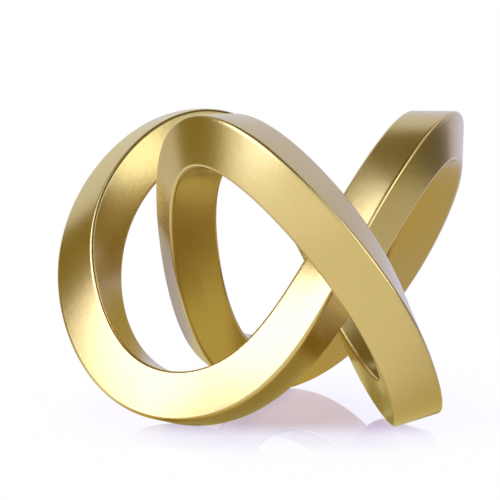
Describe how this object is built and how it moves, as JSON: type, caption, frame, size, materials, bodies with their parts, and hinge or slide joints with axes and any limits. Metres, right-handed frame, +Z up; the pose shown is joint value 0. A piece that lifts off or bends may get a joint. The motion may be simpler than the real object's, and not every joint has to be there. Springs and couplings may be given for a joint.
{
  "type": "metal knot sculpture",
  "caption": "Free-standing ornament: a square metal bar with soft edges tied in a closed trefoil knot, cast in equal arms that meet in pinned half-lap joints.",
  "frame": {"origin": "on the floor, under the middle of the bounding box", "axes": "+Z up, -Y towards the viewer of the picture, +X to the viewer's right"},
  "size_m": [0.15, 0.153, 0.1093],
  "materials": {
    "gold_metal": "satin gold, fine cast grain",
    "pin_steel": "ground"
  },
  "bodies": {
    "root": {"right_arm": "gold_metal", "front_arm": "gold_metal", "left_arm": "gold_metal", "front_joint_lower_pin": "pin_steel", "front_joint_upper_pin": "pin_steel", "left_joint_lower_pin": "pin_steel", "left_joint_upper_pin": "pin_steel", "back_joint_lower_pin": "pin_steel", "back_joint_upper_pin": "pin_steel"}
  },
  "joints": []
}
